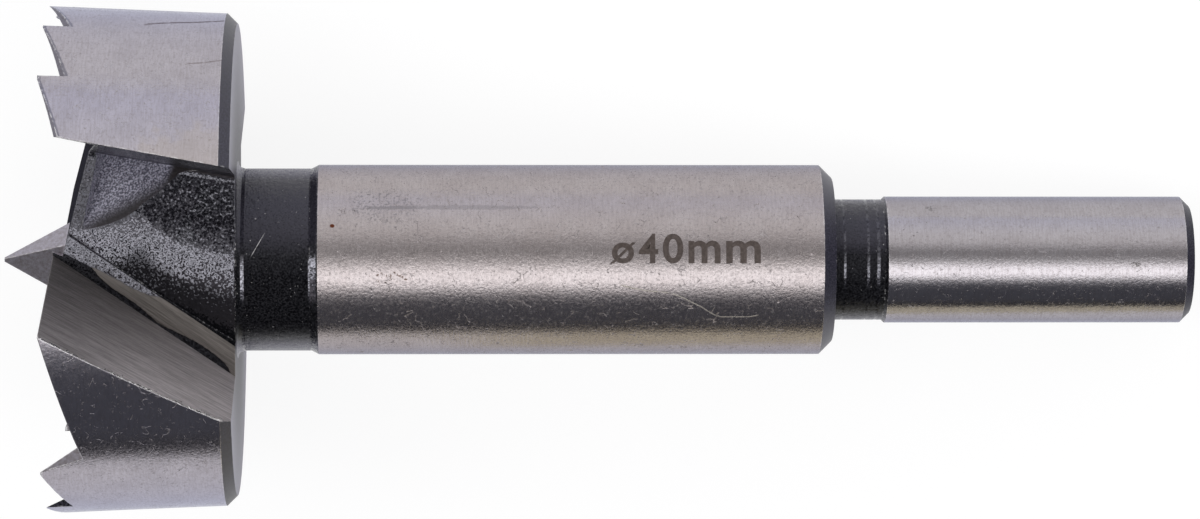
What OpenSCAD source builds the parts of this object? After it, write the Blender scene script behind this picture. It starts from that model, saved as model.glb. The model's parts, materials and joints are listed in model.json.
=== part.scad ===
// Saw-tooth forstner bit for boring flat-bottomed holes in wood.
// Sizes in millimetres, angles in degrees. The bit is drawn on its own axis, shank end at zero and point up,
// and is then laid down as it comes to rest: on the shank end and on two corners of the lower chip opening.

/* [Cutting head] */
// Bore the bit cuts, measured over the tooth tips
head_diameter = 40; // [34:0.5:46]
// Length of the head along the axis, rear face to tooth tips
head_height = 14.7; // [12:0.1:18]
// How far the rim narrows toward the rear on each side, in degrees
rim_taper = 2.3; // [0.5:0.1:4]
// Bevel around the rear edge of the head
rear_bevel = 0.8; // [0.4:0.1:2]

/* [Rim teeth] */
// Teeth on each half of the rim
teeth_per_side = 5; // [3:1:5]
// Angle from one tooth to the next
tooth_pitch = 20.2; // [18:0.2:22]
// Depth of a tooth, tip to root
tooth_depth = 2.1; // [1.2:0.1:3]
// Angle about the axis of the last tooth before the chip opening
last_tooth_angle = 44.5; // [40:0.5:48]
// Lean of the teeth's backs, higher on the inside
tooth_lean = 20; // [10:1:30]
// Length of a tooth's tip, along the rim, before its back falls away
tooth_land = 0.4; // [0.1:0.1:0.8]
// Slope of the rim's inner bevel, from level
rim_bevel = 64; // [56:0.5:70]
// Lean of the first tooth's front face, from the axis
first_tooth_lean = 24; // [5:1:35]

/* [Cutting lips] */
// How far the lips stand below the tooth tips
lip_drop = 0.35; // [0.1:0.05:1]
// How far each lip runs ahead of the centre
lip_lead = 1.43; // [0.8:0.01:2]
// Turn of the lips about the axis
lip_angle = 21.2; // [16:0.2:26]
// Slope of the lip's ground front face, from the axis
rake_angle = 28.8; // [22:0.2:34]
// Slope of the face behind the lip, from level
relief_angle = 15; // [10:0.5:20]

/* [Chip openings] */
// Distance of the opening's floor from the axis at the tooth tips
floor_front = 2.5; // [2:0.1:3.5]
// Distance of the opening's floor from the axis at the rear face
floor_rear = 7.4; // [7.3:0.1:9]
// Height of the crease in the floor at the rear face
crease_height = 0.2; // [-1:0.1:1.5]
// Turn of the opening out of line with the axis
opening_turn = 9.1; // [5:0.1:13]
// Height of the opening's upper wall above the crease
wall_height = 6.2; // [5.4:0.1:7]
// Slope that lets the forging leave its die
wall_draft = 5; // [3:0.1:7]
// Lean of the floor above the crease
floor_lean = 8; // [3:0.5:14]
// Radius of the floor below the crease
core_radius = 10.5; // [8:0.1:13]
// Fillet between the floor and the upper wall
wall_fillet = 0.6; // [0.3:0.1:1.2]
// Height of the ground step between the floor and the lip's front face
step_height = 2.2; // [1.2:0.1:3]
// Lean of the ground step
step_lean = 8; // [0:1:20]
// Start of the ground step, measured along the lip from the axis
step_start = 2.8; // [2.2:0.1:3.6]
// Turn of the ground step away from the fall of the front face
step_turn = 19.5; // [14:0.5:24]
// Length of the hollow milled beside the rim
hollow_length = 7.3; // [5:0.1:9]
// Depth of the hollow at its front end
hollow_depth = 1.5; // [0.8:0.1:2]
// Front end of the hollow, along the opening from the rear face
hollow_front = 12.9; // [11.5:0.1:13.4]
// Radius of the hollow's curved edge on the floor
hollow_arc = 15.4; // [10:0.2:22]
// How far ahead of the hollow's front end its curved edge would meet the crease
hollow_overrun = 0.3; // [0.2:0.1:0.8]

/* [Centre point] */
// Height of the point above the tooth tips
point_height = 3.7; // [2.5:0.1:5]
// Slope of the point's faces, from the axis
point_slope = 22.6; // [18:0.2:27]
// Flat left at the very tip
point_flat = 0.25; // [0.1:0.05:0.5]
// Turn of the point about the axis
point_turn = 21.4; // [0:0.2:44]

/* [Shaft] */
// Length from the shank end to the tooth tips
bit_length = 90; // [80:0.5:120]
// Shank that the chuck grips
shank_diameter = 10; // [9.7:0.1:12]
// Length of the shank up to the groove
shank_length = 24.4; // [18:0.2:28]
// Bevel on the shank end
shank_bevel = 0.7; // [0.3:0.1:1.4]
// Diameter of the groove behind the shank
groove_diameter = 9.55; // [8:0.05:9.6]
// Width of the groove
groove_width = 4; // [2:0.2:6]
// Diameter of the thick part of the shaft
body_diameter = 15; // [14.6:0.1:17]
// Bevel on the body's shank end
body_bevel = 1; // [0.3:0.1:1.6]
// Diameter of the neck under the head
neck_diameter = 14.4; // [12:0.1:14.5]
// Length of the neck
neck_length = 5.8; // [3:0.2:9]
// Fillet between the neck and the head
neck_fillet = 0.6; // [0.2:0.1:1.2]

/* [Hidden] */
$fn = 96;

head_r = head_diameter / 2;
shank_r = shank_diameter / 2;
groove_r = groove_diameter / 2;
body_r = body_diameter / 2;
neck_r = neck_diameter / 2;
rear_z = bit_length - head_height;
lip_z = bit_length - lip_drop;
rear_r = head_r - (head_height - rear_bevel) * tan(rim_taper);
reach = 2 * head_diameter;

// teeth
back_angle = tooth_pitch - asin(tooth_land / head_r);
back_rise = tooth_depth - head_r * (1 - cos(back_angle)) * tan(tooth_lean);
back_slope = cos(tooth_lean) * back_rise / (head_r * sin(back_angle));
root_z = bit_length - tooth_depth;
first_tooth_angle = last_tooth_angle + (teeth_per_side - 1) * tooth_pitch;

// the opening's own directions: out from the axis, up toward the wall, and along it toward the point
floor_slope = atan((floor_rear - floor_front) / head_height);
out_dir = [cos(floor_slope), 0, sin(floor_slope)];
up_dir = [
    sin(opening_turn) * sin(floor_slope),
    cos(opening_turn),
    -sin(opening_turn) * cos(floor_slope)
];
floor_start = [floor_rear, crease_height, rear_z];

// the hollow's ball: its edge on the floor is an arc from the wall to the crease just past the hollow's front
// end, and it is deepest where that front end meets the wall
wall_foot = -wall_height * tan(floor_lean);
hollow_run = hollow_length + hollow_overrun;
hollow_chord = norm([wall_height, hollow_run]);
arc_stand = sqrt(pow(hollow_arc, 2) - pow(hollow_chord / 2, 2)) / hollow_chord;
ball_up = wall_height / 2 + arc_stand * hollow_run;
ball_along = hollow_front + hollow_overrun - hollow_run / 2 + arc_stand * wall_height;
corner_run = norm([ball_up - wall_height, ball_along - hollow_front]);
ball_out = (pow(hollow_arc, 2) - pow(corner_run, 2) - pow(hollow_depth, 2)) / (2 * hollow_depth);
ball_r = norm([ball_out, hollow_arc]);

// the two corners of the opening that the bit lies on: the lip's outer end and the rear end of the wall
lip_corner_r = head_r - lip_drop * tan(rim_taper);
lip_corner_a = asin(lip_lead / lip_corner_r) - lip_angle;
lip_corner_z = lip_z;
wall_norm = up_dir - tan(wall_draft) * out_dir;
wall_level = wall_height - tan(wall_draft) * wall_foot;
wall_corner_z = rear_z + rear_bevel;
wall_corner_r = rear_r;
wall_sum = wall_level + wall_norm * floor_start - wall_norm.z * wall_corner_z;
wall_corner_a = atan2(wall_norm.y, wall_norm.x)
    - acos(wall_sum / (wall_corner_r * norm([wall_norm.x, wall_norm.y])));

// roll and tilt that bring the shank end and both corners down to one level
lip_run = lip_corner_z - shank_bevel;
wall_run = wall_corner_z - shank_bevel;
roll_x = lip_corner_r / lip_run * cos(lip_corner_a) - wall_corner_r / wall_run * cos(wall_corner_a);
roll_y = lip_corner_r / lip_run * sin(lip_corner_a) - wall_corner_r / wall_run * sin(wall_corner_a);
roll_c = shank_r * (1 / lip_run - 1 / wall_run);
rest_roll = atan2(roll_y, roll_x) + acos(roll_c / norm([roll_x, roll_y]));
rest_tilt = atan((lip_corner_r * cos(lip_corner_a - rest_roll) - shank_r) / lip_run);
rest_height = shank_r * cos(rest_tilt) - shank_bevel * sin(rest_tilt);
rest_middle = ((bit_length + point_height) * cos(rest_tilt) - (shank_r - shank_bevel) * sin(rest_tilt)) / 2;

module blank() {
    rotate_extrude()
    difference() {
        polygon([
            [0, 0],
            [shank_r - shank_bevel, 0],
            [shank_r, shank_bevel],
            [shank_r, shank_length - (shank_r - groove_r)],
            [groove_r, shank_length],
            [groove_r, shank_length + groove_width],
            [body_r - body_bevel, shank_length + groove_width],
            [body_r, shank_length + groove_width + body_bevel],
            [body_r, rear_z - neck_length - 2 * (body_r - neck_r)],
            [neck_r, rear_z - neck_length],
            [neck_r, rear_z - neck_fillet],
            [neck_r + neck_fillet, rear_z - neck_fillet],
            [neck_r + neck_fillet, rear_z],
            [rear_r - rear_bevel, rear_z],
            [rear_r, rear_z + rear_bevel],
            [head_r, bit_length],
            [0, bit_length]
        ]);
        translate([neck_r + neck_fillet, rear_z - neck_fillet])
        circle(r = neck_fillet);
    }
}

// everything above the face that falls away behind the lip, as far as the other lip
module above_relief() {
    rotate([0, 0, -lip_angle])
    translate([0, lip_lead, lip_z])
    rotate([relief_angle, 0, 0])
    translate([0, -reach, 0]) {
        translate([-floor_front, 0, 0])
        cube([reach, 1.2 * reach, head_height]);
        translate([-reach, 0, 0])
        cube([2 * reach, reach - 2 * lip_lead / cos(relief_angle), head_height]);
    }
}

// the inside of the rim, down to where its bevel would meet the axis
module rim_funnel() {
    depth = head_r * tan(rim_bevel);
    translate([0, 0, bit_length - depth])
    cylinder(h = 2 * depth, r1 = 0, r2 = 2 * head_r);
}

// everything ahead of the first tooth's front face
module ahead_of_first_tooth() {
    lean = tan(first_tooth_lean);
    rotate([0, 0, first_tooth_angle - 180])
    translate([head_r / 2, 0, bit_length])
    rotate([90, 0, 90])
    linear_extrude(reach)
    polygon([
        [head_height * lean, -head_height],
        [reach, -head_height],
        [reach, head_height],
        [-head_height * lean, head_height]
    ]);
}

module front_cut() {
    intersection() {
        above_relief();
        rim_funnel();
    }
    intersection() {
        above_relief();
        ahead_of_first_tooth();
    }
}

// the gap from one tooth's front face up the back of the tooth ahead of it
module tooth_gap(angle) {
    rotate([0, 0, angle])
    translate([head_r, 0, root_z])
    rotate([0, tooth_lean, 0])
    rotate([90, 0, 90])
    linear_extrude(head_r, center = true)
    polygon([[0, 0], [1.5 * head_r, 1.5 * head_r * back_slope], [0, 1.5 * head_r * back_slope]]);
}

// places its children in the opening's own directions
module in_opening() {
    translate(floor_start)
    rotate([-opening_turn, -floor_slope, 0])
    children();
}

// the forged opening: leaning floor with a crease, round below it, and a drafted upper wall
module forged_opening() {
    foot_y = wall_height - wall_fillet;
    foot_x = -foot_y * tan(floor_lean);
    fillet = [for (i = [1 : 4]) [
        foot_x + wall_fillet * (1 - cos(18 * i)),
        foot_y + wall_fillet * sin(18 * i)
    ]];
    in_opening()
    translate([0, 0, -head_height])
    linear_extrude(3 * head_height)
    difference() {
        polygon(concat(
            [[-core_radius, -reach / 2], [-core_radius, 0], [0, 0], [foot_x, foot_y]],
            fillet,
            [
                [foot_x + 1.5 * wall_fillet, wall_level + tan(wall_draft) * (foot_x + 1.5 * wall_fillet)],
                [reach, wall_level + tan(wall_draft) * reach],
                [reach, -reach / 2]
            ]
        ));
        translate([-core_radius, 0])
        circle(r = core_radius);
    }
}

// hollow milled into the floor beside the rim, with a flat front end
module milled_hollow() {
    in_opening()
    intersection() {
        rotate([0, 0, floor_lean])
        translate([ball_out, ball_up, ball_along])
        sphere(r = ball_r);
        translate([wall_foot - 2 * hollow_depth, 0, hollow_front - 2 * hollow_length])
        cube([2 * hollow_depth - wall_foot, wall_height, 2 * hollow_length]);
    }
}

// places its children on the lip's front face: along the lip, off the face, and up the face
module on_rake() {
    rotate([0, 0, -lip_angle])
    translate([0, lip_lead, lip_z])
    rotate([-rake_angle, 0, 0])
    children();
}

// the pass of the wheel that grinds the front face and the step beside it
module ground_pass() {
    on_rake()
    translate([step_start, 0, 0])
    rotate([0, -step_turn, 0])
    translate([0, 0, -reach])
    linear_extrude(2 * reach)
    polygon([
        [0, 0],
        [-step_height * tan(step_lean), step_height],
        [reach, step_height],
        [reach, 0]
    ]);
}

module above_step() {
    on_rake()
    translate([-reach, 0.9 * step_height, -reach])
    cube([2 * reach, reach, 2 * reach]);
}

// the head and the space around the neck, where the openings may cut
module clear_of_neck() {
    inner_r = neck_r + neck_fillet / 2;
    rotate_extrude()
    polygon([
        [0, rear_z],
        [inner_r, rear_z],
        [inner_r, rear_z - head_height],
        [reach, rear_z - head_height],
        [reach, bit_length + head_height],
        [0, bit_length + head_height]
    ]);
}

module chip_opening() {
    intersection() {
        union() {
            intersection() {
                forged_opening();
                above_step();
            }
            milled_hollow();
            ground_pass();
        }
        clear_of_neck();
    }
}

module centre_point() {
    rise = point_height + lip_drop + 1.6;
    half = point_flat / 2 + rise * tan(point_slope);
    translate([0, 0, bit_length + point_height - rise])
    rotate([0, 0, point_turn + 45])
    intersection_for(turn = [0, 90])
        rotate([90, 0, turn])
        linear_extrude(4 * half, center = true)
        polygon([[-half, 0], [half, 0], [point_flat / 2, rise], [-point_flat / 2, rise]]);
}

module upright_bit() {
    difference() {
        blank();
        for (side = [0, 180])
            rotate([0, 0, side]) {
                front_cut();
                for (i = [-1 : teeth_per_side - 2])
                    tooth_gap(last_tooth_angle + i * tooth_pitch);
                chip_opening();
            }
    }
    centre_point();
}

module forstner_bit() {
    color("#8d8c8a")
    translate([rest_middle, 0, rest_height])
    rotate([0, rest_tilt - 90, 0])
    rotate([0, 0, -rest_roll])
    upright_bit();
}

forstner_bit();
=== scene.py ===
"""Forstner bit lying on a pale floor: finishes, size mark, floor, light and camera."""
import json
import math

import bmesh
import bpy
import numpy as np
from mathutils import Euler, Matrix, Vector


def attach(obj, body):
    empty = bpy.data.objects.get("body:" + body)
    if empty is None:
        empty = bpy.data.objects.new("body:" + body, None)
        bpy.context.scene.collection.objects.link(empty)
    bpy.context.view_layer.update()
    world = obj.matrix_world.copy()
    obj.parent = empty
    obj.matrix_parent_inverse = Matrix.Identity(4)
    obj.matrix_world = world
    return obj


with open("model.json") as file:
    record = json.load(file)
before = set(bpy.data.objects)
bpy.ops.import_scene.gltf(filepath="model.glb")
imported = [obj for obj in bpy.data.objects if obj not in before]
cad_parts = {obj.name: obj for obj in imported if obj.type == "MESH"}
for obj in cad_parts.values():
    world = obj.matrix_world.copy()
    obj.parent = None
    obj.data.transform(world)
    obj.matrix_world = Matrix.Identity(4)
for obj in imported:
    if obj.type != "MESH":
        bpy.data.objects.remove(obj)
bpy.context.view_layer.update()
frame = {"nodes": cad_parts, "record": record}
bit = frame["nodes"]["forstner_bit"]

MM = 0.001

# Sizes of the bit in its own frame, in millimetres: x out of the upper chip opening, y up in the picture,
# z from the shank end to the point.
SHANK_MIDDLE = 12.4375
LIE_ROLL = math.radians(5.491)
SHANK_R = 5.0
BODY_R = 7.5
NECK_R = 7.2
HEAD_R = 20.0
GROOVE_Z = 30.0
REAR_Z = 75.3
TIP_Z = 90.0
RIM_TAPER = math.radians(2.3)
RIM_REAR_R = HEAD_R - (TIP_Z - REAR_Z) * math.tan(RIM_TAPER)
TOOTH_DEPTH = 2.1
TOOTH_PITCH = math.radians(20.2)
FIRST_TOOTH = math.radians(84.9)
LIP_ANGLE = math.radians(21.2)
RAKE_ANGLE = math.radians(28.8)
LIP_LEAD = 1.43
LIP_Z = 89.65
STEP_START = 2.8
STEP_LEAN = math.radians(8)
STEP_TURN = math.radians(19.5)


def bit_frame():
    """Matrix from the bit's frame in millimetres to the row frame in metres."""
    shank = next(m for m in frame["record"]["mounts"] if m["name"] == "shank")
    axis = -Vector(shank["axis"]).normalized()
    upward = (Vector((0, 0, 1)) - axis * axis.z).normalized()
    sideways = axis.cross(upward)
    out = upward * math.cos(LIE_ROLL) + sideways * math.sin(LIE_ROLL)
    across = sideways * math.cos(LIE_ROLL) - upward * math.sin(LIE_ROLL)
    turn = Matrix((out, across, axis)).transposed().to_4x4()
    origin = Vector(shank["pos_m"]) - axis * SHANK_MIDDLE * MM
    return Matrix.Translation(origin) @ turn @ Matrix.Scale(MM, 4)


BIT_TO_ROW = bit_frame()
ROW_TO_BIT = BIT_TO_ROW.inverted()
BIT_TURN = BIT_TO_ROW.to_3x3() * (1 / MM)

# On the lip's front face: x along the lip, y off the face, z up the face.
RAKE_TURN = Euler((-RAKE_ANGLE, 0, -LIP_ANGLE)).to_matrix()
RAKE_ORIGIN = Euler((0, 0, -LIP_ANGLE)).to_matrix() @ Vector((0, LIP_LEAD, 0)) + Vector((0, 0, LIP_Z))
# On the ground step beside it: x off the step, y up it from the corner, z along the corner to the front.
STEP_FRAME = RAKE_TURN @ Euler((0, -STEP_TURN, 0)).to_matrix()
STEP_ORIGIN = RAKE_ORIGIN + RAKE_TURN @ Vector((STEP_START, 0, 0))
RAKE_NORMAL = RAKE_TURN @ Vector((0, 1, 0))
STEP_NORMAL = STEP_FRAME @ Vector((math.cos(STEP_LEAN), math.sin(STEP_LEAN), 0))

# Tones of the finishes.
STEEL = (0.395, 0.352, 0.350, 1)
STEEL_PALE = (0.43, 0.388, 0.388, 1)
STEEL_DARK = (0.26, 0.232, 0.232, 1)
SHANK_STEEL = (0.385, 0.360, 0.378, 1)
SHANK_PALE = (0.42, 0.396, 0.415, 1)
RIM_STEEL = (0.40, 0.375, 0.41, 1)
RIM_PALE = (0.445, 0.418, 0.455, 1)
# Lip face tones: painted shade toward the point, whose dark tone also colours blotches, and painted light
# toward the rear.
LIP_PAINTED_SHADE_AND_BLOTCH = ((0.10, 0.091, 0.09, 1), (0.20, 0.182, 0.18, 1))
LIP_PAINTED_LIGHT = ((0.40, 0.365, 0.37, 1), (0.70, 0.645, 0.655, 1))
STEP_STEEL = (0.165, 0.150, 0.141, 1)
STEP_STEEL_DARK = (0.085, 0.077, 0.072, 1)
# Bright worn steel; on oxide, near-white and mostly non-metal, it is painted glints.
BRIGHT_WEAR_AND_GLINT = (0.78, 0.76, 0.76, 1)
CHIP = (0.95, 0.93, 0.92, 1)
GRAZING = (0.58, 0.60, 0.70, 1)
RIM_GRAZING = (0.70, 0.72, 0.84, 1)
OXIDE_BLACK = (0.003, 0.003, 0.004, 1)
OXIDE = (0.007, 0.007, 0.008, 1)
OXIDE_PALE = (0.028, 0.028, 0.032, 1)
# Painted light: a mottled lighter tone on the upper half of turned oxide, and a painted sheen on its flanks.
OXIDE_PAINTED_UPPER_LIGHT = (0.034, 0.032, 0.044, 1)
OXIDE_PAINTED_FLANK_SHEEN = (0.085, 0.08, 0.135, 1)
BLUED = (0.90, 0.89, 1.0, 1)
SCALE_DARK = (0.024, 0.023, 0.033, 1)
SCALE = (0.066, 0.063, 0.088, 1)
SCALE_PALE = (0.19, 0.184, 0.225, 1)
# Painted light on the rear face, outward from the neck.
SCALE_PAINTED_LIGHT = (0.42, 0.41, 0.50, 1)
# Painted shade along each tooth's back on the rim.
TOOTH_BACK_PAINTED_SHADE = (0.15, 0.146, 0.178, 1)
DUST = (0.34, 0.32, 0.32, 1)
HOLLOW_PALE = (0.46, 0.45, 0.535, 1)
# Painted shade of the hollow's valley.
VALLEY_PAINTED_SHADE = (0.026, 0.022, 0.022, 1)
RUST = (0.11, 0.035, 0.018, 1)
STAIN = (0.20, 0.185, 0.19, 1)
WARM_STAIN = (0.42, 0.365, 0.315, 1)
SMUDGE = (0.10, 0.093, 0.09, 1)
SCRATCH = (0.10, 0.07, 0.058, 1)
FIBRE = (0.50, 0.46, 0.39, 1)
ETCH = (0.062, 0.046, 0.040, 1)
ETCH_PALE = (0.115, 0.09, 0.08, 1)
OXIDE_IOR = 2.4
# Specular level across a turned part, from its lower flank to its upper one.
NECK_GLOSS = [(-1.0, 0.26), (-0.86, 0.13), (-0.74, 0.012), (-0.1, 0.008), (0.2, 0.08), (1.0, 0.13)]
GROOVE_GLOSS = [(-1.0, 0.19), (-0.8, 0.08), (-0.65, 0.025), (0.0, 0.025), (0.3, 0.08), (1.0, 0.15)]
NECK_GLINT = [(-1.0, 0.2), (-0.7, 0.01), (-0.5, 0.05), (-0.38, 0.8), (-0.05, 0.9), (0.06, 0.1),
              (0.2, 0.01), (1.0, 0.05)]
GROOVE_GLINT = [(-1.0, 0.25), (-0.7, 0.03), (-0.5, 0.05), (-0.35, 0.45), (0.0, 0.5), (0.2, 0.3),
                (0.45, 0.2), (1.0, 0.3)]
CHAMFER_GLOSS = [(-1.0, 1.0), (-0.7, 0.7), (-0.4, 0.1), (0.3, 0.1), (0.75, 0.7), (1.0, 1.0)]
# Burnished rings on the neck and in the groove: place along the axis and half width.
NECK_RINGS = [(69.3, 0.36), (74.74, 0.17)]
GROOVE_RINGS = [(27.6, 0.11), (25.75, 0.12), (24.95, 0.15)]
# Stains, pits and specks: place as arc and along the axis, then half width and half length.
BODY_STREAK = (4.25, 63.0), (0.17, 2.7)
BODY_TAIL = (4.3, 57.5), (0.22, 6.2)
BODY_CLOUD = (4.5, 63.6), (1.7, 2.8)
BODY_PITS = (-1.45, 63.2), (0.5, 1.7)
BODY_RUST = (2.67, 67.74), (0.16, 0.19)
SHANK_NEAR = (-0.42, 4.7), (0.26, 0.5)
SHANK_HIGH = (4.63, 20.7), (0.34, 0.4)
RIM_STAIN = (7.9, 77.5), (3.0, 4.5)
# Fine scratches on the rim, body and neck: place along the axis and arc. They fade out at their ends.
SCRATCH_FADE = 0.3
RIM_LONG_SCRATCH = [(76.0, 25.5), (78.3, 24.75), (80.4, 24.3), (82.4, 23.6)]
RIM_SHORT_SCRATCH = [(75.7, 18.2), (77.2, 17.75), (78.8, 17.5)]
BODY_SCRATCH = [(45.4, -2.0), (43.4, -2.45), (41.3, -2.73), (39.2, -3.75), (37.4, -4.79), (34.4, -4.6)]
NECK_SCRATCH = [(72.9, 2.2), (73.3, 1.5), (73.7, 0.8), (74.1, 0.1)]
# The crease where the chip opening's floor turns down, and the hollow's edge: place along the axis, height.
CREASE = [(75.0, 0.2), (75.6, 0.29), (77.4, 0.71), (79.5, 1.27), (80.5, 1.8), (81.6, 2.5), (82.8, 3.5),
          (83.7, 3.05), (84.7, 2.6), (85.7, 2.4), (87.3, 2.4)]
# Below the hollow's edge the hollow is painted black as its valley's shade.
HOLLOW_EDGE = [(80.0, 8.2), (80.3, 7.5), (80.7, 6.65), (81.6, 5.9), (82.6, 5.4), (84.15, 4.6), (85.7, 3.86),
               (87.4, 2.8)]
# The ground strip on the step: its lower and upper edges by the distance back from the corner's start.
STRIP_LOW = [(0.0, 2.6), (2.5, 1.4), (3.2, 0.86), (4.8, 0.46), (7.35, 0.40), (8.8, 0.28), (10.2, 0.12),
             (11.6, 0.34), (13.85, 0.56), (15.5, 0.5), (16.4, 0.3), (16.95, 0.0), (18.0, 0.0)]
STRIP_HIGH = [(0.0, 0.6), (2.5, 0.9), (3.2, 1.0), (4.8, 1.2), (7.35, 1.45), (10.0, 2.2), (18.0, 2.6)]
# How far edges are softened and worn, with painted glints on the oxide, how fine the grain and the forged
# pebbles are and how far pebbles tip the normal, how the floor falls above its crease, the radii between
# which the rear face is painted paler (painted shade toward the neck), and the width of painted shade along a
# tooth's back.
EDGE_RADIUS = 0.10
WEAR_RADIUS = 0.2
EDGE_SAMPLES = 6
GRAIN_SCALE = 5.0
PEBBLE_SCALE = 5.2
PEBBLE_TIP = 1.35
CREASE_FALL = 0.16
CREASE_REACH = 8.0
REAR_PAINTED_LIGHT = (8.0, 21.0)
TOOTH_SHADE_WIDTH = 0.24


class Nodes:
    """Short calls that add nodes to a node tree."""

    def __init__(self, tree):
        self.tree = tree

    def add(self, kind, inputs=None, **settings):
        node = self.tree.nodes.new("ShaderNode" + kind)
        for key, value in settings.items():
            setattr(node, key, value)
        for key, value in (inputs or {}).items():
            self.feed(node.inputs[key], value)
        return node

    def feed(self, socket, value):
        if isinstance(value, bpy.types.NodeSocket):
            self.tree.links.new(value, socket)
        else:
            socket.default_value = value

    def math(self, operation, a, b=0.0):
        return self.add("Math", {0: a, 1: b}, operation=operation).outputs[0]

    def times(self, a, b):
        return self.math("MULTIPLY", a, b)

    def less(self, a, b):
        return self.math("SUBTRACT", a, b)

    def total(self, first, *rest):
        """The sum of several values."""
        for value in rest:
            first = self.math("ADD", first, value)
        return first

    def most(self, first, *rest):
        """The greatest of several values."""
        for value in rest:
            first = self.math("MAXIMUM", first, value)
        return first

    def step(self, value, low, high, to_low=0.0, to_high=1.0):
        """Smooth step from to_low to to_high as the value goes from low to high."""
        inputs = {0: value, 1: low, 2: high, 3: to_low, 4: to_high}
        return self.add("MapRange", inputs, interpolation_type="SMOOTHSTEP").outputs[0]

    def scale(self, value, low, high, to_low, to_high):
        inputs = {0: value, 1: low, 2: high, 3: to_low, 4: to_high}
        return self.add("MapRange", inputs).outputs[0]

    def mix(self, share, a, b):
        return self.add("Mix", {0: share, 6: a, 7: b}, data_type="RGBA").outputs[2]

    def vector(self, x, y, z=0.0):
        return self.add("CombineXYZ", {0: x, 1: y, 2: z}).outputs[0]

    def split(self, vector):
        return self.add("SeparateXYZ", {0: vector}).outputs

    def dot(self, a, b):
        return self.add("VectorMath", {0: a, 1: b}, operation="DOT_PRODUCT").outputs["Value"]

    def noise(self, vector, scale, detail=2.0, roughness=0.5):
        inputs = {"Vector": vector, "Scale": scale, "Detail": detail, "Roughness": roughness}
        return self.add("TexNoise", inputs).outputs["Fac"]

    def curve(self, value, points):
        """A smooth curve through points given as (value, result)."""
        xs, ys = zip(*points)
        low, high, top = min(xs), max(xs), max(abs(y) for y in ys)
        share = self.scale(value, low, high, 0.0, 1.0)
        node = self.add("FloatCurve", {"Value": share})
        line = node.mapping.curves[0]
        places = sorted(((x - low) / (high - low), 0.5 + 0.5 * y / top) for x, y in points)
        while len(line.points) < len(places):
            line.points.new(0.5, 0.5)
        for point, place in zip(line.points, places):
            point.location = place
        node.mapping.update()
        return self.scale(node.outputs[0], 0.0, 1.0, -top, top)


class Shader(Nodes):
    """A new material, with calls for places and marks on the bit."""

    def __init__(self, name):
        self.material = bpy.data.materials.new(name)
        self.material.use_nodes = True
        super().__init__(self.material.node_tree)
        self.surface = self.tree.nodes["Principled BSDF"]

    def set(self, **values):
        """Values or sockets for the surface shader, with _ in place of a space."""
        for key, value in values.items():
            self.feed(self.surface.inputs[key.replace("_", " ")], value)

    def bit_point(self):
        """The surface point in the bit's frame, in millimetres."""
        place = self.add("TexCoord").outputs["Object"]
        node = self.add("Mapping", {"Vector": place})
        node.inputs["Location"].default_value = ROW_TO_BIT.to_translation()
        node.inputs["Rotation"].default_value = ROW_TO_BIT.to_3x3().normalized().to_euler()
        node.inputs["Scale"].default_value = (1 / MM,) * 3
        return node.outputs[0]

    def near_side(self, point):
        """The point, turned half round the axis from the far side, because both sides are alike."""
        x, y, z = self.split(point)
        side = self.math("SIGN", x)
        return self.vector(self.times(x, side), self.times(y, side), z)

    def local(self, point, origin, turn):
        """The point along the axes of a turned frame on the near side."""
        moved = self.add("VectorMath", {0: point, 1: origin}, operation="SUBTRACT").outputs[0]
        return [self.dot(moved, axis) for axis in turn.transposed()]

    def round(self, point, radius):
        """Arc length about the axis and place along it, in millimetres."""
        x, y, z = self.split(point)
        return self.times(self.math("ARCTAN2", y, x), radius), z

    def radius(self, point):
        """Distance from the bit's axis."""
        x, y, _ = self.split(point)
        return self.math("SQRT", self.total(self.times(x, x), self.times(y, y)))

    def spot(self, arc, along, place, size, ragged):
        """A ragged patch round a place given as (arc, along)."""
        across = self.math("DIVIDE", self.less(arc, place[0]), size[0])
        length = self.math("DIVIDE", self.less(along, place[1]), size[1])
        away = self.math("SQRT", self.total(self.times(across, across), self.times(length, length)))
        return self.step(self.total(away, ragged), 1.15, 0.75)

    def line(self, arc, along, points, width, ragged):
        """A thin line through points given as (along, arc)."""
        away = self.math("ABSOLUTE", self.less(arc, self.curve(along, points)))
        low, high = min(p[0] for p in points), max(p[0] for p in points)
        start, end = self.step(along, low, low + SCRATCH_FADE), self.step(along, high, high - SCRATCH_FADE)
        inside = self.times(start, end)
        return self.times(self.times(self.step(away, width, 0.4 * width), inside), ragged)

    def hairs(self, point):
        """Short thin scratches that wander about."""
        course = self.math("ABSOLUTE", self.less(self.noise(point, 0.55, 2.0), 0.5))
        broken = self.step(self.noise(point, 0.8, 2.0), 0.56, 0.6)
        return self.times(self.step(course, 0.008, 0.003), broken)

    def bump(self, height, distance, normal=None):
        inputs = {"Height": height, "Distance": distance * MM}
        if normal is not None:
            inputs["Normal"] = normal
        return self.add("Bump", inputs).outputs[0]

    def scatter(self, point, scale, amount, normal):
        """The normal tipped at random from grain to grain."""
        noise = self.add("TexNoise", {"Vector": point, "Scale": scale, "Detail": 1.0}).outputs["Color"]
        tip = self.add("VectorMath", {0: noise, 1: (0.5, 0.5, 0.5)}, operation="SUBTRACT").outputs[0]
        tip = self.add("VectorMath", {0: tip, "Scale": amount}, operation="SCALE").outputs[0]
        total = self.add("VectorMath", {0: normal, 1: tip}, operation="ADD").outputs[0]
        return self.add("VectorMath", {0: total}, operation="NORMALIZE").outputs[0]

    def soft_edges(self, radius=EDGE_RADIUS):
        return self.add("Bevel", {"Radius": radius * MM}, samples=EDGE_SAMPLES).outputs[0]

    def edge(self, radius=WEAR_RADIUS):
        """1 on sharp edges, 0 on open faces."""
        flat = self.add("NewGeometry").outputs["Normal"]
        return self.step(self.dot(self.soft_edges(radius), flat), 0.995, 0.93)


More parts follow.
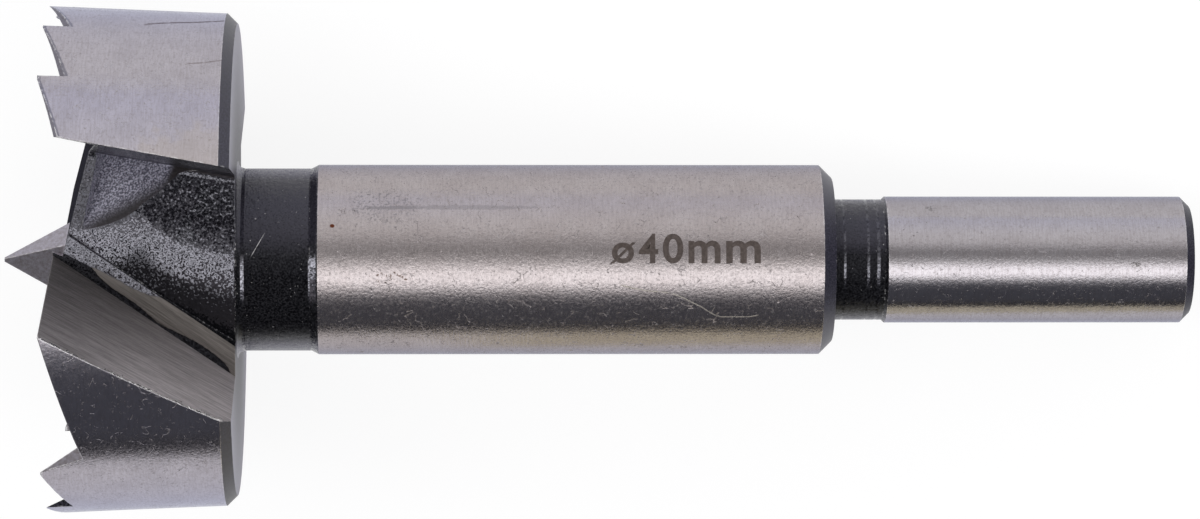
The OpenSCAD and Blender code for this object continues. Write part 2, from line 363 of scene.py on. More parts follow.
def ground_round(name, radius, tones, grazing, marks, relief, polish, hairy, dusty):
    """Steel ground round and round: fine lines about the axis, stains, specks, nicks and worn edges."""
    s = Shader(name)
    point = s.bit_point()
    arc, along = s.round(point, radius)
    lines = s.noise(s.vector(s.times(arc, 0.9), s.times(along, 6.5)), 1.0, 3.0, 0.65)
    grain = s.noise(point, 4.6, 2.0, 0.7)
    stains = s.noise(point, 0.35, 4.0, 0.7)
    tone = s.mix(s.step(stains, 0.36, 0.66), *tones)
    tone = s.mix(s.step(lines, 0.35, 0.75, 0.0, 0.4), tone, STEEL_DARK)
    tone = s.mix(s.step(grain, 0.5, 0.8, 0.0, 0.6), tone, STEEL_DARK)
    specks = s.step(s.noise(point, 1.9, 5.0, 0.75), 0.67, 0.75, 0.0, 0.7)
    tone = s.mix(specks, tone, SCRATCH)
    nicks = s.step(s.noise(point, 2.3, 6.0, 0.85), 0.625, 0.70)
    rough = s.scale(grain, 0.3, 0.7, *polish)
    cuts = s.most(nicks, s.times(s.hairs(point), hairy))
    tone, rough, metal = marks(s, arc, along, point, tone, rough)
    dust = s.step(s.noise(point, 4.2, 3.0, 0.75), 0.61, 0.68, 0.0, dusty)
    tone = s.mix(dust, tone, DUST)
    metal = s.times(s.scale(dust, 0.0, 1.0, 1.0, 0.0), metal)
    worn = s.times(s.edge(), s.step(s.noise(point, 1.8, 4.0, 0.75), 0.42, 0.6))
    s.set(Base_Color=s.mix(s.times(worn, 0.8), tone, BRIGHT_WEAR_AND_GLINT), Metallic=metal, Specular_Tint=grazing)
    s.set(Roughness=s.total(rough, s.times(cuts, 0.25)))
    height = s.less(s.total(s.times(lines, 0.5), s.times(grain, 0.75)), cuts)
    s.set(Normal=s.bump(height, relief, s.soft_edges()))
    return s.material


def body_marks(s, arc, along, point, tone, rough):
    """A rust speck, a grey smudge, small pits and one pale fibre-thin scratch on the body."""
    ragged = s.scale(s.noise(point, 3.0, 4.0, 0.7), 0.0, 1.0, -0.5, 0.5)
    streak = s.spot(arc, along, *BODY_STREAK, s.times(ragged, 2.2))
    tail = s.spot(arc, along, *BODY_TAIL, s.times(ragged, 2.0))
    cloud = s.spot(arc, along, *BODY_CLOUD, s.times(ragged, 1.6))
    cloud = s.times(cloud, s.step(s.noise(point, 5.0, 3.0, 0.7), 0.5, 0.62))
    smudge = s.most(s.times(streak, 0.65), s.times(tail, 0.4), s.times(cloud, 0.8))
    tone = s.mix(smudge, tone, STAIN)
    pits = s.spot(arc, along, *BODY_PITS, s.times(ragged, 3.2))
    tone = s.mix(s.times(pits, s.step(s.noise(point, 3.5, 2.0), 0.55, 0.62)), tone, SCRATCH)
    tone = s.mix(s.spot(arc, along, *BODY_RUST, s.times(ragged, 0.4)), tone, RUST)
    broken = s.step(s.noise(point, 1.2, 2.0), 0.3, 0.45)
    fibre = s.times(s.line(arc, along, BODY_SCRATCH, 0.06, broken), 0.8)
    tone = s.mix(fibre, tone, FIBRE)
    rough = s.total(rough, s.times(fibre, 0.4))
    return tone, rough, s.scale(fibre, 0.0, 1.0, 1.0, 0.25)


def shank_marks(s, arc, along, point, tone, rough):
    """Two small ragged smudges on the shank."""
    ragged = s.scale(s.noise(point, 3.5, 4.0, 0.7), 0.0, 1.0, -0.5, 0.5)
    near = s.spot(arc, along, *SHANK_NEAR, s.times(ragged, 2.6))
    high = s.spot(arc, along, *SHANK_HIGH, s.times(ragged, 2.6))
    broken = s.step(s.noise(point, 5.0, 3.0, 0.7), 0.44, 0.58)
    marks = s.total(s.times(near, 0.9), s.times(high, 0.6))
    return s.mix(s.times(marks, broken), tone, SMUDGE), rough, 1.0


def tooth_back_painted_shade(s, arc, along, point):
    """A narrow band along each tooth's back, painted in the leaning back's darker tone as painted shade."""
    turn = s.math("FLOORED_MODULO", s.math("DIVIDE", arc, HEAD_R), math.pi)
    teeth = s.math("DIVIDE", s.less(FIRST_TOOTH, turn), TOOTH_PITCH)
    outline = s.scale(s.math("FRACT", teeth), 0.06, 1.0, TIP_Z, TIP_Z - TOOTH_DEPTH)
    ragged = s.scale(s.noise(point, 2.5, 3.0), 0.0, 1.0, -0.1, 0.1)
    away = s.total(s.less(outline, along), ragged)
    return s.times(s.step(away, TOOTH_SHADE_WIDTH + 0.08, TOOTH_SHADE_WIDTH - 0.06), s.step(teeth, -0.02, 0.0))


def rim_marks(s, arc, along, point, tone, rough):
    """Dark scratches, a warm stain and painted shade along the teeth on the rim's outside."""
    ragged = s.step(s.noise(point, 1.6, 3.0, 0.7), 0.3, 0.5, 0.35, 1.0)
    long_line = s.line(arc, along, RIM_LONG_SCRATCH, 0.24, ragged)
    short_line = s.line(arc, along, RIM_SHORT_SCRATCH, 0.12, ragged)
    tone = s.mix(s.total(long_line, s.times(short_line, 0.5)), tone, SCRATCH)
    # Painted shade: a darker band along each tooth's back.
    tone = s.mix(s.times(tooth_back_painted_shade(s, arc, along, point), 0.8), tone, TOOTH_BACK_PAINTED_SHADE)
    wave = s.scale(s.noise(point, 0.8, 3.0), 0.0, 1.0, -0.5, 0.5)
    stain = s.spot(arc, along, *RIM_STAIN, s.times(wave, 1.8))
    tone = s.mix(s.times(stain, 0.35), tone, WARM_STAIN)
    return tone, rough, 1.0


def ground_lip(name):
    """The lip's front face: straight grinding lines along its fall, a chipped cutting edge, and painted shade
    toward the point.
    """
    s = Shader(name)
    point = s.near_side(s.bit_point())
    across, _, up = s.local(point, RAKE_ORIGIN, RAKE_TURN)
    sheared = s.total(across, s.times(up, 0.1))
    lines = s.noise(s.vector(s.times(sheared, 5.0), s.times(up, 0.3)), 1.0, 4.0, 0.8)
    grain = s.noise(point, 5.0, 3.0, 0.7)
    share = s.step(lines, 0.36, 0.64)
    _, height, along = s.split(point)
    # Painted shade: the face is darker toward the point and painted lighter toward its rear.
    tone = s.mix(s.step(height, 0.5, -12.0), s.mix(share, *LIP_PAINTED_SHADE_AND_BLOTCH), s.mix(share, *LIP_PAINTED_LIGHT))
    tone = s.mix(s.step(s.noise(point, 2.2, 5.0, 0.75), 0.66, 0.73, 0.0, 0.7), tone, SCRATCH)
    blotches = s.noise(s.vector(s.times(sheared, 1.1), s.times(up, 0.13)), 1.0, 3.0, 0.6)
    tone = s.mix(s.step(blotches, 0.45, 0.7, 0.0, 0.28), tone, LIP_PAINTED_SHADE_AND_BLOTCH[0])
    ragged = s.scale(s.noise(point, 1.6, 5.0, 0.75), 0.35, 0.65, -0.6, 0.5)
    inward = s.less(s.scale(along, REAR_Z, TIP_Z, RIM_REAR_R, HEAD_R), s.radius(point))
    near_rim = s.step(s.less(inward, ragged), 0.4, 0.25)
    chips = s.times(near_rim, s.step(s.noise(point, 0.7, 2.0), 0.34, 0.44))
    s.set(Base_Color=s.mix(chips, tone, CHIP), Metallic=s.scale(chips, 0.0, 1.0, 0.55, 1.0))
    rough = s.scale(grain, 0.3, 0.7, 0.40, 0.55)
    s.set(Roughness=s.times(rough, s.scale(chips, 0.0, 1.0, 1.0, 0.35)))
    s.set(Normal=s.scatter(point, GRAIN_SCALE, s.times(chips, 2.0), s.bump(lines, 0.03, s.soft_edges())))
    return s.material


def ground_step(name):
    """The step beside the lip: bright where the wheel reached it, black along the corner and in front."""
    s = Shader(name)
    point = s.near_side(s.bit_point())
    _, up, along = s.local(point, STEP_ORIGIN, STEP_FRAME)
    back = s.times(along, -1.0)
    lines = s.noise(s.vector(s.times(up, 5.0), s.times(back, 0.16)), 1.0, 4.0, 0.8)
    tone = s.mix(s.step(lines, 0.3, 0.7), STEP_STEEL_DARK, STEP_STEEL)
    ragged = s.scale(s.noise(point, 2.2, 3.0, 0.6), 0.0, 1.0, -0.1, 0.1)
    ragged_up = s.total(up, ragged)
    low = s.step(s.less(ragged_up, s.curve(back, STRIP_LOW)), 0.0, 0.06)
    high = s.step(s.less(s.curve(back, STRIP_HIGH), ragged_up), 0.0, 0.08)
    ground = s.times(low, high)
    s.set(Base_Color=s.mix(ground, OXIDE_BLACK, tone), Metallic=ground, IOR=OXIDE_IOR, Specular_Tint=BLUED)
    s.set(Roughness=s.scale(ground, 0.0, 1.0, 0.18, 0.36))
    s.set(Specular_IOR_Level=s.scale(high, 0.0, 1.0, 0.5, 0.05))
    normal = s.bump(s.total(s.times(lines, 0.6), s.times(ground, 0.8)), 0.03, s.soft_edges())
    s.set(Normal=s.scatter(point, PEBBLE_SCALE, s.scale(ground, 0.0, 1.0, PEBBLE_TIP, 0.0), normal))
    return s.material


def ground_teeth(name, shade):
    """Ground teeth and point, duller than the rim's outside; shade scales their tones as painted shade and
    light.
    """
    s = Shader(name)
    point = s.bit_point()
    stretched = s.add("VectorMath", {0: point, 1: (1.2, 4.0, 4.0)}, operation="MULTIPLY").outputs[0]
    lines = s.noise(stretched, 1.0, 4.0, 0.75)
    grain = s.noise(point, 5.0, 3.0, 0.7)
    # Painted shade and light: the tones scaled down for the teeth and up for the point.
    dark, pale = ([shade * c for c in tone[:3]] + [1] for tone in (STEEL_DARK, RIM_STEEL))
    tone = s.mix(s.step(lines, 0.3, 0.7), dark, pale)
    worn = s.times(s.edge(), s.step(s.noise(point, 1.8, 4.0, 0.75), 0.42, 0.6))
    s.set(Base_Color=s.mix(s.times(worn, 0.8), tone, BRIGHT_WEAR_AND_GLINT), Metallic=1.0, Specular_Tint=GRAZING)
    s.set(Roughness=s.scale(grain, 0.3, 0.7, 0.32, 0.44))
    s.set(Normal=s.bump(lines, 0.02, s.soft_edges()))
    return s.material


def rubbed_and_glints(s, point, wear_and_glints):
    """Where oxide is worn off, painted near-white as glints: broken lines along edges and scattered specks.
    """
    edges = s.times(s.edge(), s.step(s.noise(point, 2.6, 5.0, 0.75), 0.52, 0.64, 0.0, wear_and_glints))
    specks = s.step(s.noise(point, 2.4, 6.0, 0.85), 0.66, 0.73, 0.0, 0.6 * wear_and_glints)
    return s.most(edges, specks)


def oxide(name, tones, pebble, depth, rough, shine, wear_and_glints, paler=None):
    """Black oxide or grey scale over milled steel, worn bright in specks and along edges that are painted
    glints.
    """
    s = Shader(name)
    point = s.bit_point()
    coarse = s.noise(point, pebble, 1.0, 0.5)
    fine = s.noise(point, 3.0 * pebble, 2.0, 0.6)
    bare_and_glints = rubbed_and_glints(s, point, wear_and_glints)
    tone = s.mix(s.step(fine, 0.35, 0.75), *tones)
    # Painted shade: paler outward between the given radii, darker toward the neck.
    if paler:
        tone = s.mix(s.step(s.radius(point), *paler), tone, SCALE_PAINTED_LIGHT)
    # Painted glints: worn specks near-white and mostly non-metal, bright whatever they reflect.
    s.set(Base_Color=s.mix(bare_and_glints, tone, BRIGHT_WEAR_AND_GLINT), Metallic=s.times(bare_and_glints, 0.4))
    s.set(Roughness=s.scale(fine, 0.3, 0.7, *rough), Specular_Tint=BLUED)
    s.set(Specular_IOR_Level=shine(s, point) if callable(shine) else shine)
    height = s.total(s.times(coarse, 0.7), s.times(fine, 0.3))
    s.set(Normal=s.bump(height, depth, s.soft_edges()))
    return s.material


def chamfer_shine(s, point):
    """The body's chamfer is brighter on its flanks than in the middle."""
    return s.curve(s.math("DIVIDE", s.split(point)[1], BODY_R), CHAMFER_GLOSS)


def oxide_turned(name, radius, gloss, glints, rings, scratch=None):
    """Black oxide on a turned part: handled smooth above and below, dull between, with burnished rings;
    painted light on the upper half and flanks.
    """
    s = Shader(name)
    point = s.bit_point()
    arc, along = s.round(point, radius)
    across = s.math("DIVIDE", s.split(point)[1], radius)
    coarse = s.noise(point, 2.4, 1.0, 0.5)
    fine = s.noise(point, 6.5, 2.0, 0.6)
    streaks = s.noise(s.vector(s.times(arc, 1.1), s.times(along, 5.5)), 1.0, 2.0, 0.6)
    # Painted glints: scattered specks, near-white and part non-metal, bright whatever they reflect.
    specks = s.step(s.noise(point, 3.6, 3.0, 0.7), 0.68, 0.75, 0.0, 0.6)
    bare_and_glints = s.most(rubbed_and_glints(s, point, 0.8), specks)
    if scratch:
        course = s.line(arc, along, scratch, 0.06, s.step(s.noise(point, 2.0, 3.0), 0.36, 0.5))
        bare_and_glints = s.most(bare_and_glints, s.times(course, 0.8))
    tone = s.mix(s.step(fine, 0.35, 0.75), OXIDE_BLACK, OXIDE_PALE)
    # Painted light on the upper half, and a painted sheen where the flanks turn away.
    tone = s.mix(s.times(s.step(across, 0.0, 0.3), s.step(fine, 0.2, 0.7, 0.3, 0.8)), tone, OXIDE_PAINTED_UPPER_LIGHT)
    tone = s.mix(s.step(s.math("ABSOLUTE", across), 0.84, 1.0), tone, OXIDE_PAINTED_FLANK_SHEEN)
    away = [s.math("ABSOLUTE", s.less(along, place)) for place, _ in rings]
    burnished = s.most(*(s.step(gap, half, 0.6 * half) for gap, (_, half) in zip(away, rings)))
    ragged = s.step(s.noise(point, 2.8, 4.0, 0.75), 0.42, 0.55, 0.3, 1.0)
    glint = s.times(s.curve(across, glints), ragged)
    level = s.add("Mix", {0: burnished, 2: s.curve(across, gloss), 3: glint}).outputs[0]
    # Painted glints where the oxide is worn through.
    s.set(Base_Color=s.mix(bare_and_glints, tone, BRIGHT_WEAR_AND_GLINT), Metallic=s.times(bare_and_glints, 0.4))
    s.set(IOR=OXIDE_IOR, Specular_Tint=BLUED)
    rough = s.times(s.scale(fine, 0.3, 0.7, 0.24, 0.44), s.scale(burnished, 0.0, 1.0, 1.0, 0.5))
    s.set(Roughness=rough, Specular_IOR_Level=level)
    height = s.total(s.times(coarse, 0.7), s.times(fine, 0.3), s.times(streaks, 0.4))
    s.set(Normal=s.scatter(point, GRAIN_SCALE, 0.3, s.bump(height, 0.06, s.soft_edges())))
    return s.material


def oxide_forged(name):
    """Forged and blackened: glossy pebbles, with the crease where the floor turns down, and painted glints
    where worn.
    """
    s = Shader(name)
    bit_point = s.bit_point()
    _, up, along = s.split(s.near_side(bit_point))
    fine = s.noise(bit_point, 11.0, 2.0, 0.6)
    bare_and_glints = rubbed_and_glints(s, bit_point, 0.4)
    tone = s.mix(s.step(fine, 0.35, 0.75), OXIDE_BLACK, OXIDE)
    # Painted glints where the oxide is worn through.
    s.set(Base_Color=s.mix(bare_and_glints, tone, BRIGHT_WEAR_AND_GLINT), Metallic=s.times(bare_and_glints, 0.4))
    s.set(IOR=OXIDE_IOR, Specular_Tint=BLUED)
    s.set(Roughness=s.scale(fine, 0.3, 0.7, 0.10, 0.20))
    ragged = s.scale(s.noise(bit_point, 1.7, 3.0), 0.0, 1.0, -0.3, 0.3)
    above = s.total(s.less(up, s.curve(along, CREASE)), ragged)
    shine = s.step(above, -0.1, 0.3, 0.5, 0.36)
    s.set(Specular_IOR_Level=s.times(shine, s.step(above, -3.6, -2.0, 0.25, 1.0)))
    drop = s.times(s.math("MINIMUM", s.most(above, 0.0), CREASE_REACH), -CREASE_FALL)
    s.set(Normal=s.scatter(bit_point, PEBBLE_SCALE, PEBBLE_TIP, s.bump(drop, 1.0, s.soft_edges())))
    return s.material


def scale_hollow(name):
    """The smooth hollow beside the forged floor: pale speckled scale that ends in a black valley of painted
    shade.
    """
    s = Shader(name)
    bit_point = s.bit_point()
    _, up, along = s.split(s.near_side(bit_point))
    fine = s.noise(bit_point, 6.6, 2.0, 0.6)
    # Painted shade: below the hollow's edge the face turns black as the valley's shade.
    grey = s.step(s.less(up, s.curve(along, HOLLOW_EDGE)), -1.1, 0.55)
    tone = s.mix(s.step(fine, 0.40, 0.66), SCALE, HOLLOW_PALE)
    s.set(Base_Color=s.mix(grey, VALLEY_PAINTED_SHADE, tone), Specular_Tint=BLUED)
    s.set(Roughness=s.scale(fine, 0.3, 0.7, 0.34, 0.46))
    s.set(Specular_IOR_Level=s.scale(grey, 0.0, 1.0, 0.3, 0.6))
    s.set(Normal=s.scatter(bit_point, GRAIN_SCALE, s.scale(grey, 0.0, 1.0, 0.9, 0.25), s.soft_edges()))
    return s.material


def etched(name):
    """The brown, slightly uneven tone of the etched size."""
    s = Shader(name)
    point = s.bit_point()
    grain = s.noise(point, 4.0, 3.0, 0.7)
    s.set(Base_Color=s.mix(s.step(grain, 0.35, 0.75), ETCH, ETCH_PALE), Metallic=0.35)
    s.set(Roughness=s.scale(grain, 0.3, 0.7, 0.45, 0.6))
    s.set(Normal=s.bump(grain, 0.012))
    return s.material


def cad_faces(mesh):
    """The mesh's faces as they left CAD, with mean centre, normal and radius in the bit's frame."""
    head = list(range(len(mesh.vertices)))

    def find(v):
        while head[v] != v:
            head[v] = head[head[v]]
            v = head[v]
        return v

    for polygon in mesh.polygons:
        first, *rest = polygon.vertices
        for v in rest:
            head[find(v)] = find(first)
    groups = {}
    for polygon in mesh.polygons:
        groups.setdefault(find(polygon.vertices[0]), []).append(polygon)
    turn = np.array(BIT_TURN)
    origin = np.array(BIT_TO_ROW.to_translation())
    for polygons in groups.values():
        area = np.array([p.area for p in polygons])
        centre = (np.array([p.center for p in polygons]) - origin) @ turn / MM
        normal = np.array([p.normal for p in polygons]) @ turn
        radius = np.hypot(centre[:, 0], centre[:, 1])
        yield {
            "polygons": polygons,
            "area": area.sum() / MM**2,
            "centre": Vector(np.average(centre, axis=0, weights=area)),
            "normal": Vector(np.average(normal, axis=0, weights=area)),
            "radius": np.average(radius, weights=area),
        }


# What tells CAD faces apart: areas in square millimetres, radii and places in millimetres.
ROUND_AREA = 500
RIM_AREA = 300
FLAT_AREA = 100
HOLLOW_AREA = 5
HOLLOW_X = 4
HOLLOW_Y = (5, 8)
CHAMFER_FROM_R = 6.5
CORE_TO_R = 9
RIM_FROM_R = 19
POINT_TO_R = 4
CORE_TO_Z = 87.1
ALONG = 0.99
TURNED = ("body", "shank", "rim", "neck", "groove", "bevel", "chamfer")


def finish_of(face):
    """Which finish a CAD face has."""
    centre, normal = face["centre"], face["normal"]
    side = -1 if centre.x < 0 else 1
    facing = Vector((normal.x * side, normal.y * side, normal.z))
    if centre.z < GROOVE_Z:
        if face["radius"] > CHAMFER_FROM_R or centre.z < 1:
            return "chamfer"
        return "shank" if face["area"] > ROUND_AREA else "groove"
    if centre.z < REAR_Z - 1:
        if face["area"] > ROUND_AREA:
            return "body"
        return "bevel" if centre.z < GROOVE_Z + 3 else "neck"
    if centre.z < REAR_Z + 0.8:
        if face["radius"] < CORE_TO_R:
            return "neck"
        return "rear" if normal.z < -0.95 else "bevel"
    if face["radius"] > RIM_FROM_R:
        if face["area"] > RIM_AREA:
            return "rim"
        return "gullet" if abs(normal.z) < 0.1 else "teeth"
    if facing.dot(RAKE_NORMAL) > ALONG and face["area"] > FLAT_AREA:
        return "lip"
    if facing.dot(STEP_NORMAL) > ALONG:
        return "step"
    if face["radius"] < CORE_TO_R and centre.z < CORE_TO_Z:
        beside_rim = HOLLOW_Y[0] < side * centre.y < HOLLOW_Y[1] and side * centre.x < HOLLOW_X
        return "hollow" if beside_rim and face["area"] > HOLLOW_AREA else "forged"
    if facing.y < -0.9 and face["area"] > FLAT_AREA:
        return "forged"
    if face["radius"] < POINT_TO_R:
        return "point"
    return "land" if normal.z > 0.85 else "teeth"


def smooth_rounds(mesh):
    """Turns the turned faces' shading normals straight out from the axis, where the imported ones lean."""
    normals = [corner.vector.copy() for corner in mesh.corner_normals]
    for face in cad_faces(mesh):
        if finish_of(face) not in TURNED:
            continue
        for polygon in face["polygons"]:
            for i in polygon.loop_indices:
                place = ROW_TO_BIT @ mesh.vertices[mesh.loops[i].vertex_index].co
                normal = BIT_TURN.transposed() @ normals[i]
                out = Vector((place.x, place.y, 0)).normalized() * math.hypot(normal.x, normal.y)
                if out.dot(normal) < 0:
                    out.negate()
                normals[i] = BIT_TURN @ Vector((out.x, out.y, normal.z))
    mesh.normals_split_custom_set(normals)


def dress_bit():
    """Gives each CAD face of the bit its finish."""
    finishes = {
        "body": ground_round("ground_body", BODY_R, (STEEL_PALE, STEEL), GRAZING, body_marks,
                             relief=0.028, polish=(0.15, 0.34), hairy=1.0, dusty=0.6),
        "shank": ground_round("ground_shank", SHANK_R, (SHANK_PALE, SHANK_STEEL), GRAZING, shank_marks,
                              relief=0.020, polish=(0.11, 0.26), hairy=0.15, dusty=0.3),
        "rim": ground_round("ground_rim", HEAD_R, (RIM_PALE, RIM_STEEL), RIM_GRAZING, rim_marks,
                            relief=0.016, polish=(0.12, 0.27), hairy=0.5, dusty=0.12),
        "lip": ground_lip("ground_lip"),
        "step": ground_step("ground_step"),
        # Painted shade on the teeth and painted light on the point, from one ground finish.
        "teeth": ground_teeth("ground_teeth", shade=0.62),
        "point": ground_teeth("ground_point", shade=1.2),
        "neck": oxide_turned("oxide_neck", NECK_R, NECK_GLOSS, NECK_GLINT, NECK_RINGS, NECK_SCRATCH),
        "groove": oxide_turned("oxide_groove", SHANK_R, GROOVE_GLOSS, GROOVE_GLINT, GROOVE_RINGS),
        "chamfer": oxide("scale_chamfer", (SCALE_DARK, SCALE), pebble=2.8, depth=0.02,
                         rough=(0.35, 0.5), shine=chamfer_shine, wear_and_glints=0.5),
        "bevel": oxide("scale_bevel", (SCALE_DARK, SCALE), pebble=2.8, depth=0.02,
                       rough=(0.35, 0.5), shine=0.4, wear_and_glints=0.5),
        # The rear face: painted shade toward the neck, painted paler outward.
        "rear": oxide("scale_rear", (SCALE_DARK, SCALE_PALE), pebble=2.8, depth=0.02,
                      rough=(0.38, 0.5), shine=0.2, wear_and_glints=0.4, paler=REAR_PAINTED_LIGHT),
        "gullet": oxide("oxide_gullet", (OXIDE, SCALE), pebble=2.4, depth=0.03,
                        rough=(0.5, 0.65), shine=0.04, wear_and_glints=0.6),
        "land": oxide("scale_land", (OXIDE_PALE, SCALE), pebble=2.2, depth=0.14,
                      rough=(0.34, 0.5), shine=0.0, wear_and_glints=0.6),
        "forged": oxide_forged("oxide_forged"),
        "hollow": scale_hollow("scale_hollow"),
    }
    mesh = bit.data
    smooth_rounds(mesh)
    mesh.materials.clear()
    for material in finishes.values():
        mesh.materials.append(material)
    order = list(finishes)
    for face in cad_faces(mesh):
        index = order.index(finish_of(face))
        for polygon in face["polygons"]:
            polygon.material_index = index


def placed(name, data):
    """A new object in the scene, with this mesh, lettering or camera."""
    piece = bpy.data.objects.new(name, data)
    bpy.context.scene.collection.objects.link(piece)
    return piece


# The size etched on the body, glyph by glyph: start and end along the line, then height, in millimetres.
MARK_START = 46.06
MARK_BASE = -0.30
MARK_GLYPHS = [("o", 0.06, 1.78, 1.62), ("4", 2.14, 3.66, 2.33), ("0", 4.02, 5.62, 2.33),
               ("m", 6.02, 8.52, 1.78), ("m", 8.96, 11.66, 1.78)]
MARK_SLASH = (0.06, 1.78, -0.02, 1.64, 0.3)
MARK_WEIGHT = 0.02
MARK_PROUD = 0.012
MARK_SUNK = 0.03
MARK_CUTS = 14


def glyph_mesh(glyph, start, end, height):
    """One flat letter, fitted to its place on the line of lettering."""
    curve = bpy.data.curves.new("glyph", "FONT")
    curve.body = glyph
    curve.offset = MARK_WEIGHT
    curve.resolution_u = 8
    curve.extrude = 0.5
    text = placed("glyph", curve)
    bpy.context.view_layer.update()
    mesh = bpy.data.meshes.new_from_object(text.evaluated_get(bpy.context.evaluated_depsgraph_get()))
    bpy.data.objects.remove(text)
    low = [min(v.co[i] for v in mesh.vertices) for i in (0, 1)]
    high = [max(v.co[i] for v in mesh.vertices) for i in (0, 1)]
    for v in mesh.vertices:
        v.co.x = start + (end - start) * (v.co.x - low[0]) / (high[0] - low[0])
        v.co.y = height * (v.co.y - low[1]) / (high[1] - low[1])
    return mesh


def slash_mesh():
    """The stroke across the o that makes it a diameter sign."""
    left, right, low, high, wide = MARK_SLASH
    half = wide / 2
    outline = [(left - half, low), (left + half, low), (right + half, high), (right - half, high)]
    corners = [(x, y, z) for z in (-0.5, 0.6) for x, y in outline]
    faces = [(3, 2, 1, 0), (4, 5, 6, 7), (0, 1, 5, 4), (1, 2, 6, 5), (2, 3, 7, 6), (3, 0, 4, 7)]
    mesh = bpy.data.meshes.new("slash")
    mesh.from_pydata(corners, [], faces)
    return mesh


def size_mark():
    """The size etched on the body: lettering bent round the cylinder as a thin skin."""
    flat = bmesh.new()
    for glyph in MARK_GLYPHS:
        flat.from_mesh(glyph_mesh(*glyph))
    flat.from_mesh(slash_mesh())
    top = max(height for _, _, _, height in MARK_GLYPHS)
    for i in range(1, MARK_CUTS):
        parts = flat.verts[:] + flat.edges[:] + flat.faces[:]
        bmesh.ops.bisect_plane(flat, geom=parts, plane_co=(0, top * i / MARK_CUTS, 0), plane_no=(0, 1, 0))
    for v in flat.verts:
        angle = (MARK_BASE + v.co.y) / BODY_R
        radius = BODY_R + (MARK_PROUD * 2 * v.co.z if v.co.z > 0 else -MARK_SUNK)
        x, y = radius * math.cos(angle), radius * math.sin(angle)
        v.co = BIT_TO_ROW @ Vector((x, y, MARK_START - v.co.x))
    bmesh.ops.recalc_face_normals(flat, faces=flat.faces)
    mesh = bpy.data.meshes.new("size_mark")
    flat.to_mesh(mesh)
    flat.free()
    mesh.materials.append(etched("etched_size"))
    mark = placed("size_mark", mesh)
    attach(mark, "root")


FLOOR_HALF = 3.0
FLOOR_TONE = (0.17, 0.17, 0.17, 1)
FLOOR_LIFT = 0.868


def pale_floor():
    """A white floor that keeps a soft shadow; part of its white is for the camera and reflections alone."""
    mesh = bpy.data.meshes.new("floor")
    h = FLOOR_HALF
    mesh.from_pydata([(-h, -h, 0), (h, -h, 0), (h, h, 0), (-h, h, 0)], [], [(0, 1, 2, 3)])
    floor = placed("floor", mesh)
    s = Shader("floor")
    path = s.add("LightPath").outputs
    seen = s.total(path["Is Camera Ray"], path["Is Glossy Ray"], path["Is Transmission Ray"])
    lift = s.times(s.math("MINIMUM", seen, 1.0), FLOOR_LIFT)
    s.set(Base_Color=FLOOR_TONE, Roughness=0.9, Specular_IOR_Level=0.0)
    s.set(Emission_Color=(1, 1, 1, 1), Emission_Strength=lift)
    mesh.materials.append(s.material)


# Cards that stand or lie on the floor for the reflections alone: corners in metres, and tone.
CARDS = {
    "dark_card": (
        [(-0.6, -0.28, 0), (0.6, -0.28, 0), (0.6, -0.28, 0.06), (-0.6, -0.28, 0.06)],
        (0.05, 0.05, 0.055, 1),
    ),
    "warm_card": (
        [(-0.012, -0.26, 0.0005), (0.25, -0.26, 0.0005), (0.25, -0.03, 0.0005), (-0.012, -0.03, 0.0005)],
        (0.80, 0.75, 0.58, 1),
    ),
}


def reflection_cards():
    """A low dark card and a warm card on the shaded side, as the steel in the picture shows them."""
    for name, (corners, tone) in CARDS.items():
        mesh = bpy.data.meshes.new(name)
        mesh.from_pydata(corners, [], [(0, 1, 2, 3)])
        card = placed(name, mesh)
        card.visible_camera = card.visible_diffuse = card.visible_shadow = False
        s = Shader(name)
        s.set(Base_Color=(0, 0, 0, 1), Specular_IOR_Level=0.0, Emission_Color=tone, Emission_Strength=1.0)
        mesh.materials.append(s.material)


# Brightness round the bit's axis, in degrees from straight out of the upper chip opening, with its tint.
# The band turns a little where it runs out toward the point.
WORLD_STRENGTH = 3.0
STRIP_TURN = math.radians(18)
STRIP_TURN_RANGE = (0.3, 0.6)
STUDIO = [
    (-180, 0.70, (0.98, 0.99, 1.06)),
    (-104, 0.60, (1.00, 1.00, 1.00)),
    (-97, 0.12, (0.93, 0.98, 1.14)),
    (-88, 0.10, (0.92, 0.97, 1.15)),
    (-50, 0.10, (0.92, 0.97, 1.15)),
    (-41, 0.28, (0.97, 0.99, 1.06)),
    (-33, 1.50, (1.00, 1.00, 1.01)),
    (-26, 2.45, (1.00, 1.00, 1.01)),
    (-18, 2.35, (1.00, 1.00, 1.01)),
    (-12, 1.75, (1.00, 1.00, 1.00)),
    (-6, 0.95, (1.00, 1.00, 1.00)),
    (0, 0.60, (1.00, 1.00, 1.00)),
    (8, 0.36, (1.00, 0.99, 1.00)),
    (16, 0.42, (1.00, 0.99, 1.00)),
    (24, 0.72, (1.00, 0.99, 1.00)),
    (34, 0.98, (1.00, 0.99, 0.99)),
    (48, 1.06, (1.00, 1.00, 1.01)),
    (75, 0.97, (0.98, 1.00, 1.11)),
    (95, 0.90, (0.97, 0.99, 1.14)),
    (180, 0.72, (0.96, 0.98, 1.15)),
]


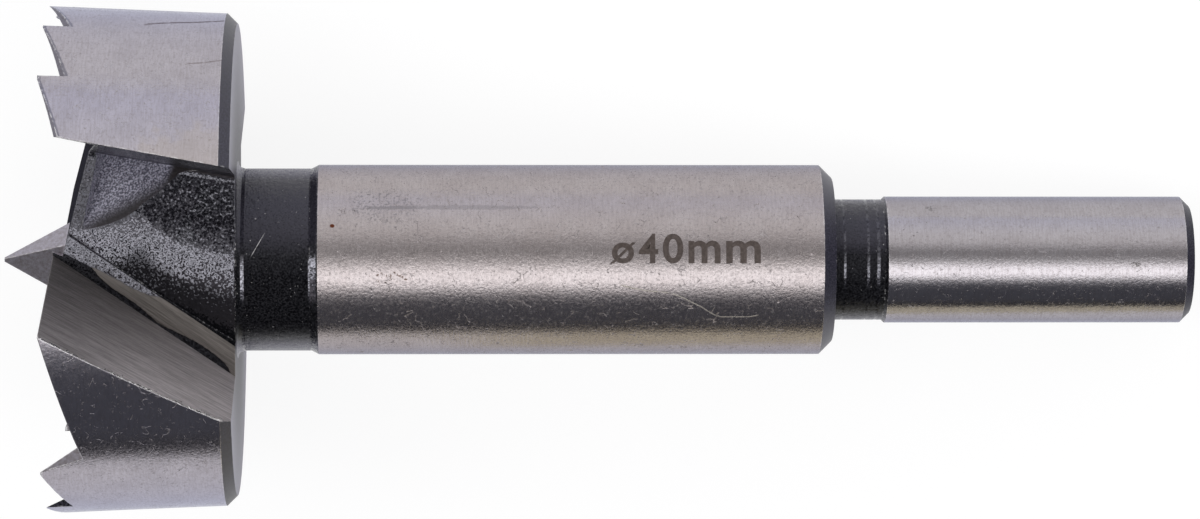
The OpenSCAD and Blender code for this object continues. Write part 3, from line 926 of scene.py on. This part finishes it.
def studio_world():
    """Soft studio light round the bit's axis: pale above the picture, a bright band, and dark below it."""
    world = bpy.data.worlds.new("studio")
    bpy.context.scene.world = world
    world.use_nodes = True
    s = Nodes(world.node_tree)
    direction = s.add("TexCoord").outputs["Generated"]
    out, across, along = (s.dot(direction, axis) for axis in BIT_TURN.transposed())
    turn = s.step(along, *STRIP_TURN_RANGE, 0.0, STRIP_TURN)
    angle = s.less(s.math("ARCTAN2", across, out), turn)
    ramp = s.add("ValToRGB", {0: s.scale(angle, -math.pi, math.pi, 0.0, 1.0)})
    stops = ramp.color_ramp.elements
    tones = [(*(level * t / WORLD_STRENGTH for t in tint), 1) for _, level, tint in STUDIO]
    stops[0].color = tones[0]
    stops[1].color = tones[-1]
    for (degrees, _, _), tone in list(zip(STUDIO, tones))[1:-1]:
        stops.new((degrees + 180) / 360).color = tone
    background = s.tree.nodes["Background"]
    s.feed(background.inputs["Color"], ramp.outputs[0])
    s.feed(background.inputs["Strength"], WORLD_STRENGTH)


CAMERA_Z = 59.2
CAMERA_AWAY = 400.0
CAMERA_YAW = math.radians(1.791)
FOCAL_PIXELS = 5052
IMAGE_WIDTH = 1200
SENSOR = 36


def photo_camera():
    """The camera at the photograph's place, square to the bit but for a small yaw."""
    data = bpy.data.cameras.new("camera")
    data.sensor_width = SENSOR
    data.lens = FOCAL_PIXELS / IMAGE_WIDTH * SENSOR
    data.clip_start = 0.01
    camera = placed("camera", data)
    right = BIT_TURN @ Vector((math.sin(CAMERA_YAW), 0, -math.cos(CAMERA_YAW)))
    up = BIT_TURN @ Vector((0, 1, 0))
    back = BIT_TURN @ Vector((math.cos(CAMERA_YAW), 0, math.sin(CAMERA_YAW)))
    place = BIT_TO_ROW @ Vector((CAMERA_AWAY, 0, CAMERA_Z))
    camera.matrix_world = Matrix.Translation(place) @ Matrix((right, up, back)).transposed().to_4x4()
    bpy.context.scene.camera = camera


dress_bit()
size_mark()
pale_floor()
reflection_cards()
studio_world()
photo_camera()
bpy.context.scene.view_settings.view_transform = "Standard"
